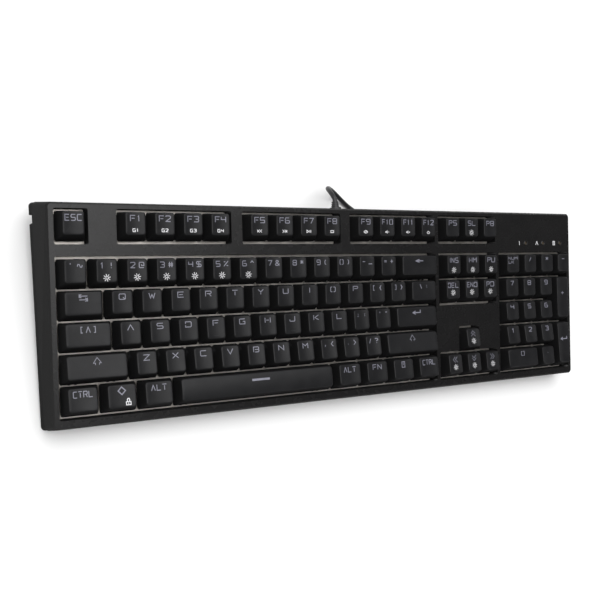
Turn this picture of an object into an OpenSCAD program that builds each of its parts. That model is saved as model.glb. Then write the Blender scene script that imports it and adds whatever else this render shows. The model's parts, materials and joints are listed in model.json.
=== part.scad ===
// Full-size mechanical keyboard, 104 keys, standing on its folded-out rear feet.
// Final frame: origin on the desk under the middle of the case, +X to the right,
// +Y to the rear, +Z up. Most pieces are drawn in one of two tilted frames:
//   plate frame: z = 0 on the top of the switch plate, y = 0 at the front of the key field
//   case frame:  z = 0 on the underside of the case, y = 0 at its front lower edge

/* [Keys] */
// Distance from one key to the next
unit = 19.05; // [18.5:0.05:23]
// Gap between the skirts of two neighbouring keycaps
cap_gap = 0.85; // [0.6:0.05:1.4]
// Height of a keycap's skirt above the plate
cap_skirt_z = 6.2; // [5.6:0.1:7]
// How much narrower a keycap's top is than its skirt, on each side
cap_taper = 2.8; // [2:0.1:3]
// Wall of a keycap
cap_wall = 1.4; // [1:0.1:1.6]
// Roof of a keycap, above the hollow
cap_roof = 1.8; // [1.6:0.1:2.2]
// Depth of the finger dish in a keycap
dish_depth = 0.6; // [0.3:0.1:0.9]
// Key travel
travel = 4; // [3:0.1:4]

/* [Case] */
// From the key field to the side of the case
rim_side = 5; // [4.4:0.1:30]
// From the key field to the front of the case
rim_front = 6.6; // [5.5:0.1:30]
// From the key field to the rear of the case
rim_rear = 4.8; // [4.2:0.1:30]
// How far the walls lean out from the rim down to the underside
case_flare = 2.7; // [1:0.1:4]
// Corner radius of the case, seen from above
corner_r = 3; // [2:0.5:5]
// Bevel round the top of the case
rim_bevel = 1.2; // [0.5:0.1:2]
// Height of the bezel above the plate
bezel_h = 10; // [9:0.1:12]
// Thickness of the bezel
bezel_t = 2.4; // [1.8:0.1:3]
// Thickness of the walls
wall_t = 2.4; // [1.8:0.1:2.8]
// Thickness of the floor
floor_t = 2.2; // [1.8:0.1:3]
// From the plate down to the underside, at the front edge
front_drop = 10; // [9.5:0.5:16]
// Angle between the plate and the underside
wedge = 5.6; // [4:0.1:8]
// Height of the lower case half
split_h = 7; // [6:0.5:9]
// Gap between a key window and the cells it holds, sideways
window_gap_x = 0.8; // [0.5:0.1:1.2]
// Gap between a key window and the cells it holds, front to back
window_gap_y = 1.25; // [0.8:0.05:1.6]
// Corner radius of a key window
window_r = 1.2; // [0.5:0.1:1.5]
// Wall that hangs round each key window
lip_t = 1.8; // [1.6:0.1:2]

/* [Plate and board] */
// Thickness of the switch plate
plate_t = 1.5; // [1:0.1:1.5]
// From the top of the plate to the top of the circuit board
board_drop = 5; // [4.6:0.1:5.4]
// Thickness of the circuit board
board_t = 1.6; // [1:0.1:2]

/* [Switches] */
// Side of the switch body below the plate
switch_w = 13.9; // [13:0.1:14]
// Side of the switch's flange on the plate
flange_w = 15.6; // [15:0.1:16]
// Thickness of the flange
flange_t = 1; // [0.8:0.1:1.2]
// Top of the switch cover above the plate
cover_z = 6.6; // [6.4:0.1:6.8]
// Side of the cover at its top
cover_w = 10; // [9.6:0.1:10.4]
// Sliding part of the switch, across
slider_w = 7; // [6.6:0.1:7.2]
// Sliding part of the switch, front to back
slider_d = 5.4; // [5:0.1:5.6]
// Width of the cross on the slider
cross_w = 4; // [3.8:0.1:4.1]
// Thickness of the arms of the cross
cross_t = 1.25; // [1.1:0.05:1.4]
// Top of the cross above the plate
cross_z = 11.6; // [11.2:0.1:11.8]
// Radius of the keycap's post
post_r = 2.75; // [2.6:0.05:2.8]
// From a key's middle to each stabilizer of a double key
stab_reach = 11.94; // [11.9:0.01:12]
// From the middle of the space bar to each of its stabilizers
space_stab_reach = 50; // [49:0.5:51]
// Diameter of a stabilizer wire
wire_d = 1.6; // [1.2:0.1:1.8]

/* [Feet] */
// Angle between the underside and the desk
foot_tilt = 6; // [5:0.1:7]
// From the front of the case to the feet's hinge
hinge_y = 117; // [100:1:118]
// Height of the hinge above the underside
hinge_z = 4; // [3.6:0.1:4.4]
// Width of a foot
foot_w = 26; // [18:1:30]
// Thickness of a foot
foot_t = 4.4; // [3.6:0.1:4.8]
// Radius of a foot's hinge pins
pin_r = 1.5; // [1.2:0.1:1.8]
// How far a foot leans back past square to the underside
foot_lean = 3; // [2:0.5:5]
// From the middle of the case to the middle of each foot
foot_reach = 182; // [150:1:190]
// Height of a rubber pad
pad_h = 2; // [1.5:0.1:2.5]
// From the front of the case to the front pads
pad_y = 6; // [4:0.5:10]

/* [Cord] */
// Diameter of the cord
cord_d = 3.5; // [3:0.1:4]
// Height of the cord's exit above the underside
exit_z = 11.6; // [11.6:0.1:13]
// From the middle of the case to the cord's exit
exit_x = -3; // [-12:0.5:12]

/* [Hidden] */
// Clearances
fit = 0.05;          // a cross in its socket, a screw in its hole
slide_gap = 0.3;     // a moving piece past a fixed one
pin_gap = 0.06;      // a hinge pin in its bearing
big = 700;           // larger than the whole keyboard
eps = 0.01;

// The key field, counted in key units from its front left corner
field_w = 22.5 * unit;
field_d = 6.5 * unit;
// Middle of each row of keys: function, digit, upper, middle, lower and space bar rows
ROW_Y = [6, 4.5, 3.5, 2.5, 1.5, 0.5];
// Height of the keycaps' tops above the plate, at their rear and front edges
TOP_REAR = [15.9, 16.3, 14.7, 14.2, 14.4, 15.2];
TOP_FRONT = [15.6, 16.2, 14.9, 15.3, 16.5, 16.8];
top_front_inset = 3.7;  // from the skirt's front edge to the top's front edge
top_rear_inset = 0.55;

// A key is [left edge, width, rear row, front row]
function across(row, from, n) = [for (i = [0 : n - 1]) [from + i, 1, row, row]];

KEYS = [
    ["esc_key", across(0, 0, 1)],
    ["f1_f4_keys", across(0, 2, 4)],
    ["f5_f8_keys", across(0, 6.5, 4)],
    ["f9_f12_keys", across(0, 11, 4)],
    ["print_scroll_pause_keys", across(0, 15.25, 3)],
    ["digit_row_keys", across(1, 0, 13)],
    ["backspace_key", [[13, 2, 1, 1]]],
    ["tab_key", [[0, 1.5, 2, 2]]],
    ["upper_row_keys", concat(across(2, 1.5, 12), [[13.5, 1.5, 2, 2]])],
    ["caps_lock_key", [[0, 1.75, 3, 3]]],
    ["middle_row_keys", across(3, 1.75, 11)],
    ["enter_key", [[12.75, 2.25, 3, 3]]],
    ["left_shift_key", [[0, 2.25, 4, 4]]],
    ["lower_row_keys", across(4, 2.25, 10)],
    ["right_shift_key", [[12.25, 2.75, 4, 4]]],
    ["left_ctrl_key", [[0, 1.25, 5, 5]]],
    ["left_super_key", [[1.25, 1.25, 5, 5]]],
    ["left_alt_key", [[2.5, 1.25, 5, 5]]],
    ["space_key", [[3.75, 6.25, 5, 5]]],
    ["right_alt_key", [[10, 1.25, 5, 5]]],
    ["fn_key", [[11.25, 1.25, 5, 5]]],
    ["menu_key", [[12.5, 1.25, 5, 5]]],
    ["right_ctrl_key", [[13.75, 1.25, 5, 5]]],
    ["arrow_up_key", across(4, 16.25, 1)],
    ["arrow_left_key", across(5, 15.25, 1)],
    ["arrow_down_key", across(5, 16.25, 1)],
    ["arrow_right_key", across(5, 17.25, 1)],
    ["navigation_keys", concat(across(1, 15.25, 3), across(2, 15.25, 3))],
    ["pad_operator_keys", across(1, 18.5, 4)],
    ["pad_digit_keys", concat(across(2, 18.5, 3), across(3, 18.5, 3),
                              across(4, 18.5, 3), across(5, 20.5, 1))],
    ["pad_zero_key", [[18.5, 2, 5, 5]]],
    ["pad_plus_key", [[21.5, 1, 2, 3]]],
    ["pad_enter_key", [[21.5, 1, 4, 5]]],
];
ALL_KEYS = [for (group = KEYS) each group[1]];
SPACE = [for (k = ALL_KEYS) if (k[1] > 4) k][0];

function key_x(k) = (k[0] + k[1] / 2) * unit - field_w / 2;
function key_y(k) = (ROW_Y[k[2]] + ROW_Y[k[3]]) / 2 * unit;
function key_w(k) = k[1] * unit - cap_gap;
function key_d(k) = (ROW_Y[k[2]] - ROW_Y[k[3]] + 1) * unit - cap_gap;
function is_space(k) = k[1] > 4;
function is_tall(k) = k[2] != k[3];
// Where a key's stabilizers stand, from its middle
function reach(k) = is_space(k) ? space_stab_reach : stab_reach;
function has_stabs(k) = k[1] >= 2 || is_tall(k);
STAB_KEYS = [for (k = ALL_KEYS) if (has_stabs(k)) k];

// Windows of the bezel, in key units: [left, right, front, rear]
WINDOWS = [
    [0, 1, 5.5, 6.5],
    [2, 6, 5.5, 6.5],
    [6.5, 10.5, 5.5, 6.5],
    [11, 15, 5.5, 6.5],
    [15.25, 18.25, 5.5, 6.5],
    [0, 15, 0, 5],
    [15.25, 18.25, 3, 5],
    [15.25, 18.25, 0, 1],
    [16.25, 17.25, 0, 2],
    [18.5, 22.5, 0, 5],
];
lip_gap = 0.6;  // from the plate up to the lips

// Posts that hang from the bezel, each with a screw from below, in key units
POSTS = [[1.5, 5.25], [6.25, 5.25], [10.75, 5.25], [15.12, 5.25],
         [19, 6.1], [21.6, 6.1], [15.75, 2], [17.75, 2]];
post_r1 = 3.4;       // above the plate
post_r2 = 2.8;       // through the plate and the board
screw_r = 1.3;
screw_len = 8;
head_r = 2.3;
head_h = 1.6;
boss_r = 4.2;
boss_web = 3.9;      // between the screw's head and the post

// Status lights in the panel over the number pad: from the left of the key field
light_pitch = 19.8;
light_x = 20.05 * unit;
light_y = 5.45 * unit;
light_r = 1.7;
LIGHTS = [for (i = [0 : 2]) light_x + i * light_pitch];

// The case: front and rear lower edges of its section, in the plate frame
front_y = rim_front + case_flare;
rim_w = field_w + 2 * rim_side;
base_w = rim_w + 2 * case_flare;
base_d = (field_d + rim_front + rim_rear + 2 * case_flare) / cos(wedge);
tilt = wedge + foot_tilt;
seam_step = 0.35;    // the lower half stands back by this much

function rot_x(p, a) = [p[0], p[1] * cos(a) - p[2] * sin(a), p[1] * sin(a) + p[2] * cos(a)];
function to_case(p) = rot_x(p + [0, front_y, front_drop], wedge);
function to_desk(p) = rot_x(p, foot_tilt) + [0, desk_y, desk_z];

rim_rear_edge = to_case([0, field_d + rim_rear, bezel_h - rim_bevel]);
rim_front_edge = to_case([0, -rim_front, bezel_h - rim_bevel]);
front_most = rot_x(rim_front_edge, foot_tilt)[1];
rear_most = base_d * cos(foot_tilt);
desk_y = -(front_most + rear_most) / 2;
pad_squash = 0.35;   // how far the rubber gives under the keyboard's weight
desk_z = pad_h * cos(foot_tilt) - pad_y * sin(foot_tilt) - pad_squash;
// Outer face of the rear wall at a height above the underside
function wall_y(z) = base_d + (rim_rear_edge[1] - base_d) * z / rim_rear_edge[2];

module on_case() { translate([0, desk_y, desk_z]) rotate([foot_tilt, 0, 0]) children(); }
module plate_in_case() {
    rotate([wedge, 0, 0]) translate([0, front_y, front_drop]) children();
}
module on_plate() { on_case() plate_in_case() children(); }
module at_key(k, z = 0) { translate([key_x(k), key_y(k), z]) children(); }
module box(x0, x1, y0, y1, z0, z1) { translate([x0, y0, z0]) cube([x1 - x0, y1 - y0, z1 - z0]); }
module block(w, d, z0, z1) { box(-w / 2, w / 2, -d / 2, d / 2, z0, z1); }
module tube_hole(r, z0, z1) { translate([0, 0, z0]) cylinder(r = r, h = z1 - z0, $fn = 32); }
module along_x(r, x0, x1) {
    translate([x0, 0, 0]) rotate([0, 90, 0]) cylinder(r = r, h = x1 - x0, $fn = 32);
}
module along_y(r, y0, y1) {
    translate([0, y0, 0]) rotate([-90, 0, 0]) cylinder(r = r, h = y1 - y0, $fn = 48);
}
module rounded(w, d, r) {
    block2(w - 2 * r, d);
    block2(w, d - 2 * r);
    for (x = [-1, 1], y = [-1, 1]) translate([x * (w / 2 - r), y * (d / 2 - r)]) circle(r, $fn = 32);
}
module block2(w, d) { translate([-w / 2, -d / 2]) square([w, d]); }

// ---------------------------------------------------------------- case
module rim_slab(inset, z) {
    d = field_d + rim_front + rim_rear - 2 * inset;
    plate_in_case() translate([0, (field_d + rim_rear - rim_front) / 2, z])
        linear_extrude(eps) rounded(rim_w - 2 * inset, d, max(corner_r - inset, 0.5));
}
module base_slab(inset, z) {
    translate([0, base_d / 2, z]) linear_extrude(eps)
        rounded(base_w - 2 * inset, base_d - 2 * inset, max(corner_r - inset, 0.5));
}
module case_outside(inset = 0) {
    hull() {
        rim_slab(rim_bevel + inset, bezel_h - eps);
        rim_slab(inset, bezel_h - rim_bevel);
        base_slab(inset, 0.6);
        base_slab(inset + 0.6, 0);
    }
}
module case_inside() {
    hull() {
        rim_slab(wall_t, bezel_h - bezel_t);
        base_slab(wall_t, floor_t);
    }
}
module window(w, grow, z0, z1) {
    gx = window_gap_x + grow;
    gy = window_gap_y + grow;
    x = (w[0] + w[1]) / 2 * unit - field_w / 2;
    y = (w[2] + w[3]) / 2 * unit;
    translate([x, y, z0]) linear_extrude(z1 - z0)
        rounded((w[1] - w[0]) * unit + 2 * gx, (w[3] - w[2]) * unit + 2 * gy, window_r + grow);
}
module at_posts() {
    for (p = POSTS) translate([p[0] * unit - field_w / 2, p[1] * unit, 0]) children();
}
module at_lights() { for (x = LIGHTS) translate([x - field_w / 2, light_y, 0]) children(); }

module top_case() {
    color("#2c2b2c") on_case() difference() {
        union() {
            difference() {
                case_outside();
                case_inside();
                box(-big, big, -big, big, -big, split_h);
            }
            intersection() {
                case_outside(wall_t / 2);
                plate_in_case() for (w = WINDOWS) window(w, lip_t, lip_gap, bezel_h - bezel_t / 2);
            }
            plate_in_case() at_posts() {
                tube_hole(post_r1, 0, bezel_h - bezel_t / 2);
                tube_hole(post_r2, -board_drop - board_t, 1);
            }
            translate([exit_x, 0, exit_z])
                box(-exit_block / 2, exit_block / 2, exit_y - exit_pad, exit_y - 1.6, -4, exit_block / 2);
        }
        plate_in_case() for (w = WINDOWS) window(w, 0, -1, bezel_h + 1);
        plate_in_case() at_posts() tube_hole(screw_r + 0.02, -board_drop - board_t - 1, -1.6);
        plate_in_case() at_lights() tube_hole(light_r + fit, 0, bezel_h + 1);
        translate([exit_x, 0, exit_z]) along_y(neck_r + fit, exit_y - 8, exit_y + 3);
        translate([exit_x, 0, exit_z]) along_y(flange_r + fit, exit_y - 1, exit_y + 3);
    }
}

channel_w = 6;       // groove across the underside that another device's cable can lie in
channel_h = 6;
channel_y = 130;
pocket_wall = 4;
pocket_roof = 1.6;
pocket_room = 2.5;   // in front of a folded foot's tip
pocket_top = hinge_z + foot_t / 2 + 0.8;
pocket_rear = hinge_y + foot_t / 2 * cos(foot_lean) + hinge_z * sin(foot_lean) + 0.2;
foot_len = (desk_z + hinge_y * sin(foot_tilt) + hinge_z * cos(foot_tilt)) / cos(foot_tilt + foot_lean);
pocket_front = hinge_y - foot_len - pocket_room;
pocket_w = foot_w + 2 * slide_gap;
pin_len = 2.4;
HOOKS = [-180, -90, 0, 90, 180];
hook_w = 9;
hook_y = wall_t + case_flare / 2 + 0.3;

module foot_pocket_walls() {
    w = pocket_w / 2 + pocket_wall;
    box(-w, w, pocket_front - 3, pocket_rear + 2, 0.5, pocket_top + pocket_roof);
}
module foot_pocket() {
    box(-pocket_w / 2, pocket_w / 2, pocket_front, pocket_rear, -1, pocket_top);
    translate([0, hinge_y, hinge_z])
        along_x(pin_r + pin_gap, -pocket_w / 2 - pin_len - 0.3, pocket_w / 2 + pin_len + 0.3);
}
module bottom_case() {
    color("#1b1b1c") on_case() difference() {
        union() {
            difference() {
                case_outside(seam_step);
                case_inside();
                box(-big, big, -big, big, split_h, big);
            }
            for (s = [-1, 1]) translate([s * foot_reach, 0, 0]) foot_pocket_walls();
            intersection() {
                case_outside(wall_t / 2);
                box(-big, big, channel_y - channel_w / 2 - 2, channel_y + channel_w / 2 + 2, 0.5, split_h);
            }
            intersection() {
                case_outside(wall_t / 2);
                plate_in_case() at_posts() tube_hole(boss_r, -40, -board_drop - board_t);
            }
            for (x = HOOKS) translate([x, 0, 0])
                box(-hook_w / 2, hook_w / 2, hook_y, hook_y + 1.4, floor_t - 0.5, split_h + 3);
        }
        for (s = [-1, 1]) translate([s * foot_reach, 0, 0]) foot_pocket();
        box(-big, big, channel_y - channel_w / 2, channel_y + channel_w / 2, -1, channel_h);
        plate_in_case() at_posts() {
            tube_hole(screw_r + 0.3, -60, 0);
            tube_hole(head_r + 0.3, -60, -board_drop - board_t - boss_web);
        }
    }
}
module screws() {
    color("#8a8a88") on_plate() at_posts() {
        seat = -board_drop - board_t - boss_web;
        tube_hole(screw_r, seat - 0.1, seat + screw_len);
        difference() {
            tube_hole(head_r, seat - head_h, seat);
            for (a = [0, 90]) rotate([0, 0, a]) block(2.6, 0.6, seat - head_h - 1, seat - head_h + 0.9);
        }
    }
}

// ---------------------------------------------------------------- plate and board
plate_edge = 2;      // from the key field out to the plate's side
plate_front = -3;
plate_rear = field_d + 1.6;
stab_wall = 0.4;      // thinnest, beside a keycap's post
stab_w = 2 * (post_r + slide_gap + stab_wall);
stab_d = 11.2;
stab_top = 5.4;
stab_bottom = -4.6;
stab_gap = 0.1;      // round a stabilizer in the plate
wire_y = -8.8;       // a stabilizer wire runs this far in front of the key's middle
wire_z = 1.05;
wire_over = 2.6;     // a straight wire passes each stabilizer's middle by this much
clip_d = 1.1;        // from the wire's middle to the clip's front
clip_w = 5.2;
arm_half = wire_d / 2 + 0.5;  // half width of the slots that the arms of the space bar's wire turn in
arm_over = 0.95;     // from the end of an arm up to the top of the insert's slot

module at_stabs(k) {
    at_key(k) rotate([0, 0, is_tall(k) ? 90 : 0])
        for (s = [-1, 1]) translate([s * reach(k), 0, 0]) children();
}
module switch_plate() {
    color("#8f8880") on_plate() difference() {
        box(-field_w / 2 - plate_edge, field_w / 2 + plate_edge, plate_front, plate_rear, -plate_t, 0);
        for (k = ALL_KEYS) at_key(k) block(switch_w + 2 * fit, switch_w + 2 * fit, -plate_t - 1, 1);
        for (k = STAB_KEYS) at_stabs(k) block(stab_w + 2 * stab_gap, stab_d + 2 * stab_gap, -plate_t - 1, 1);
        at_stabs(SPACE) box(-arm_half - slide_gap, arm_half + slide_gap, wire_y - 1.2, 0, -plate_t - 1, 1);
        at_posts() tube_hole(post_r2 + slide_gap, -plate_t - 1, 1);
        at_lights() tube_hole(light_r + slide_gap, -plate_t - 1, 1);
    }
}
module circuit_board() {
    color("#1d3a2a") on_plate() difference() {
        box(-field_w / 2, field_w / 2, plate_front + 0.6, field_d, -board_drop - board_t, -board_drop);
        at_posts() tube_hole(post_r2 + slide_gap, -board_drop - board_t - 1, 0);
    }
}

led_y = 5.1;
module switch_bases() {
    cavity = 11.2;
    color("#222222") on_plate() for (k = ALL_KEYS) at_key(k) difference() {
        union() {
            block(switch_w, switch_w, -board_drop, 0.5);
            block(flange_w, flange_w, 0, flange_t);
        }
        block(cavity, cavity, -board_drop + 1, flange_t + 1);
        box(-1.8, 1.8, led_y - 1.6, led_y + 1.6, -board_drop - 1, -board_drop + 2);
    }
}
module switch_covers() {
    color("#4a4a4c") on_plate() for (k = ALL_KEYS) at_key(k) difference() {
        frustum(switch_w / 2, switch_w / 2, switch_w / 2, flange_t,
                cover_w / 2, cover_w / 2, cover_w / 2, cover_z, cover_z);
        block(cover_w - 2, cover_w - 2, flange_t - 1, cover_z - 1.2);
        block(slider_w + 2 * slide_gap, slider_d + 2 * slide_gap, 0, cover_z + 1);
        box(-2, 2, slider_d / 2 + 1, cover_w / 2 - 0.6, 0, cover_z + 1);
    }
}
module switch_springs() {
    color("#c0b080") on_plate() for (k = ALL_KEYS) at_key(k) difference() {
        tube_hole(2.4, -board_drop + 1, slider_bottom);
        tube_hole(1.95, -board_drop, slider_bottom + 1);
    }
}
module backlight_leds() {
    color("#e8e4d0") on_plate() for (k = ALL_KEYS)
        at_key(k) box(-1.4, 1.4, led_y - 1.2, led_y + 1.2, -board_drop, -board_drop + 1.6);
}
module stabilizer_housings() {
    color("#2a2a2a") on_plate() for (k = STAB_KEYS) at_stabs(k) difference() {
        union() {
            block(stab_w, stab_d, stab_bottom, stab_top);
            box(-clip_w / 2, clip_w / 2, wire_y - clip_d, 0, 0, 2);
        }
        block(insert_w + 2 * slide_gap, insert_d + 2 * slide_gap, stab_bottom + 1, stab_top + 1);
        tube_hole(post_r + slide_gap, post_bottom - travel - slide_gap, stab_top + 1);
        translate([0, wire_y, wire_z]) along_x(wire_d / 2 + pin_gap, -5, 5);
        box(-arm_half, arm_half, wire_y - 3, 0, -3.2, stab_top - 0.8);
    }
}
module stabilizer_wires() {
    color("#b8b8b8") on_plate() for (k = STAB_KEYS) if (!is_space(k))
        at_key(k) rotate([0, 0, is_tall(k) ? 90 : 0]) translate([0, wire_y, wire_z])
            along_x(wire_d / 2, -reach(k) - wire_over, reach(k) + wire_over);
}
// The space bar's wire: its arms reach into the inserts and rise and fall with them
arm_len = 6.4;
arm_rise = asin(travel / 2 / arm_len);
module space_wire() {
    r = wire_d / 2;
    color("#b8b8b8") on_plate() at_key(SPACE) translate([0, wire_y, wire_z]) {
        along_x(r, -space_stab_reach, space_stab_reach);
        for (s = [-1, 1]) translate([s * space_stab_reach, 0, 0]) {
            sphere(r, $fn = 32);
            rotate([arm_rise, 0, 0]) along_y(r, 0, arm_len);
        }
    }
}
module status_leds() {
    color("#c8b49a") on_plate() at_lights() {
        tube_hole(light_r, -board_drop, bezel_h - light_r * 0.6);
        translate([0, 0, bezel_h - light_r * 0.6]) intersection() {
            sphere(light_r, $fn = 32);
            block(4, 4, -eps, light_r * 0.5);
        }
    }
}
chip_w = 10;
CHIP_AT = [150, 70];
module controller_chip() {
    color("#161616") on_plate() translate([CHIP_AT[0], CHIP_AT[1], -board_drop - board_t])
        block(chip_w, chip_w, -1.4, 0);
}
socket_w = 9;
socket_d = 7;
socket_h = 5;
socket_rear = field_d - 12;
module cable_socket() {
    color("#e0dccb") on_plate() translate([exit_x, socket_rear - socket_d / 2, -board_drop - board_t])
        block(socket_w, socket_d, -socket_h, 0);
}
pad_reach = 170;     // front pads, from the middle of the case
pad_w = 44;
pad_d = 11;
rear_pad_reach = 128;
rear_pad_w = 36;
rear_pad_y = 109.5;
module rubber_pads() {
    color("#101010") intersection() {
        on_case() {
            for (s = [-1, 1]) {
                translate([s * pad_reach, pad_y + pad_d / 2, 0]) block(pad_w, pad_d, -pad_h, 0);
                translate([s * rear_pad_reach, rear_pad_y, 0]) block(rear_pad_w, pad_d, -pad_h, 0);
            }
        }
        block(big, big, 0, big);
    }
}

// ---------------------------------------------------------------- keys
// A block with sloping sides: skirt half width, front and rear reach and height, then the
// same for its top, with the heights of the top's front and rear edges
module frustum(w0, f0, r0, z0, w1, f1, r1, zf, zr) {
    high = max(zf, zr);
    function half(z) = w0 + (w1 - w0) * (z - z0) / (high - z0);
    polyhedron(
        points = [[-w0, -f0, z0], [w0, -f0, z0], [w0, r0, z0], [-w0, r0, z0],
                  [-half(zf), -f1, zf], [half(zf), -f1, zf], [half(zr), r1, zr], [-half(zr), r1, zr]],
        faces = [[0, 1, 2, 3], [7, 6, 5, 4], [0, 4, 5, 1], [1, 5, 6, 2], [2, 6, 7, 3], [3, 7, 4, 0]]);
}
post_bottom = 8.1;
slider_top = 8;
slider_bottom = 2.6;
insert_w = 4.4;
insert_d = 8.2;
insert_bottom = 1.2;
space_crown = 1;
dish_rim = 0.3;      // flat left beside the dish at the top's front edge
seam_turn = 11;      // turns the seam of the dish's cylinder away from the cap

module cross(grow, z0, z1) {
    block(cross_w + 2 * grow, cross_t + 2 * grow, z0, z1);
    block(cross_t + 2 * grow, cross_w + 2 * grow, z0, z1);
}
module keycap(k) {
    w = key_w(k) / 2;
    d = key_d(k) / 2;
    zf = TOP_FRONT[k[3]];
    zr = TOP_REAR[k[2]];
    f = d - top_front_inset;
    r = d - top_rear_inset;
    lean = atan((zr - zf) / (f + r));
    top_mid = (zr + zf) / 2 - (r - f) / 2 * (zr - zf) / (f + r);
    post_top = top_mid - (cap_roof + dish_depth) / 2;
    half = w - cap_taper;
    dish = half - dish_rim;
    dish_r = (dish * dish + dish_depth * dish_depth) / (2 * dish_depth);
    crown_r = (d * d + space_crown * space_crown) / (2 * space_crown);
    t = cap_wall;
    feet = has_stabs(k) ? [-reach(k), 0, reach(k)] : [0];
    difference() {
        intersection() {
            frustum(w, d, d, cap_skirt_z, half, f, r, zf, zr);
            if (is_space(k))
                translate([0, (r - f) / 2, (zr + zf) / 2 - crown_r + 0.2]) along_x(crown_r, -w, w);
        }
        frustum(w - t, d - t, d - t, cap_skirt_z - eps,
                half - t, f - t, r - t, zf - cap_roof, zr - cap_roof);
        if (!is_space(k))
            translate([0, (r - f) / 2, (zr + zf) / 2]) rotate([lean, 0, 0])
                translate([0, 0, dish_r - dish_depth]) rotate([90, 0, 0]) rotate([0, 0, seam_turn])
                    cylinder(r = dish_r, h = 2 * d + 9, center = true, $fn = dish_r > 100 ? 720 : 180);
    }
    rotate([0, 0, is_tall(k) ? 90 : 0]) for (x = feet) translate([x, 0, 0]) difference() {
        tube_hole(post_r, post_bottom, post_top);
        cross(fit, post_bottom - 1, cross_z + 0.1);
    }
}
module slider() {
    block(slider_w, slider_d, slider_bottom, slider_top);
    cross(0, slider_top - 0.2, cross_z);
    tube_hole(1.6, 0.6, slider_bottom + 0.2);
}
module insert() {
    difference() {
        block(insert_w, insert_d, insert_bottom, slider_top);
        box(-arm_half, arm_half, -insert_d, 0.4, insert_bottom - 1,
            wire_z + travel / 2 + wire_d / 2 + arm_over);
    }
    cross(0, slider_top - 0.2, cross_z);
}
module key_group(keys) {
    on_plate() for (k = keys) at_key(k) {
        color("#2a2a2c") keycap(k);
        color("#4a6fae") slider();
        if (has_stabs(k)) rotate([0, 0, is_tall(k) ? 90 : 0])
            for (s = [-1, 1]) translate([s * reach(k), 0, 0]) color("#3a3a3a") insert();
    }
}

// ---------------------------------------------------------------- feet
tip_h = 3;
module at_foot(side) {
    on_case() translate([side * foot_reach, hinge_y, hinge_z]) rotate([foot_lean, 0, 0]) children();
}
module foot_leaf() {
    w = foot_w / 2;
    difference() {
        union() {
            box(-w, w, -foot_t / 2, foot_t / 2, -foot_len + tip_h, 0);
            along_x(foot_t / 2, -w, w);
            along_x(pin_r, -w - slide_gap - pin_len, w + slide_gap + pin_len);
        }
        box(-w + 5, w - 5, -foot_t, -foot_t / 2 + 1.4, -foot_len + tip_h + 4, -3.4);
    }
}
module foot_tip(side) {
    color("#0e0e0e") intersection() {
        at_foot(side) box(-foot_w / 2, foot_w / 2, -foot_t / 2, foot_t / 2, -foot_len - 2, -foot_len + tip_h);
        block(big, big, 0, big);
    }
}
module foot_left() { color("#202021") at_foot(-1) foot_leaf(); }
module foot_right() { color("#202021") at_foot(1) foot_leaf(); }
module foot_tip_left() { foot_tip(-1); }
module foot_tip_right() { foot_tip(1); }

// ---------------------------------------------------------------- cord
exit_y = wall_y(exit_z);
exit_pad = 5;        // the wall is this thick round the cord's exit
exit_block = 14;     // over this width
neck_r = 3.4;
flange_r = 4.4;
relief_len = 5.4;

// Points along a tube: unit tangents, then a side vector carried along without twisting
function unit_v(v) = v / norm(v);
function tangent(p, i) = unit_v(p[min(i + 1, len(p) - 1)] - p[max(i - 1, 0)]);
function across_v(v, t) = unit_v(v - (v * t) * t);
function sides(p, i, v) = i == len(p) ? [] :
    let (s = across_v(v, tangent(p, i))) concat([s], sides(p, i + 1, s));
module tube(p, r, n = 8) {
    s = sides(p, 0, [0.1, 0.2, 1]);
    rings = [for (i = [0 : len(p) - 1]) let (t = tangent(p, i), u = cross_v(t, s[i]))
             each [for (j = [0 : n - 1]) p[i] + r * (cos(360 * j / n) * s[i] + sin(360 * j / n) * u)]];
    m = len(p) - 1;
    polyhedron(points = rings, faces = concat(
        [[for (j = [0 : n - 1]) j]],
        [[for (j = [0 : n - 1]) m * n + n - 1 - j]],
        [for (i = [0 : m - 1], j = [0 : n - 1])
            [i * n + j, (i + 1) * n + j, (i + 1) * n + (j + 1) % n, i * n + (j + 1) % n]]));
}
function cross_v(a, b) = [a[1] * b[2] - a[2] * b[1], a[2] * b[0] - a[0] * b[2], a[0] * b[1] - a[1] * b[0]];

module cable_grommet() {
    color("#141414") on_case() translate([exit_x, 0, exit_z]) difference() {
        union() {
            along_y(flange_r, exit_y - 1, exit_y + 0.8);
            along_y(neck_r, exit_y - exit_pad, exit_y);
            along_y(flange_r, exit_y - exit_pad - 1.4, exit_y - exit_pad);
            translate([0, exit_y + 0.7, 0]) rotate([-90, 0, 0])
                cylinder(r1 = 3.2, r2 = 2.3, h = relief_len - 0.7, $fn = 48);
        }
        along_y(cord_d / 2 + 0.02, exit_y - 20, exit_y + 20);
    }
}
lead_end = [exit_x, exit_y + relief_len, exit_z];
INNER_ROUTE = [
    to_case([exit_x, socket_rear, -board_drop - board_t - socket_h / 2]),
    to_case([exit_x, socket_rear + 3, -board_drop - board_t - socket_h / 2]),
    [exit_x, exit_y - 13, exit_z + 0.9],
    [exit_x, exit_y - 9, exit_z],
    [exit_x, exit_y - 5, exit_z],
    lead_end,
];
module inner_lead() { color("#141414") on_case() tube(INNER_ROUTE, cord_d / 2); }

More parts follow.
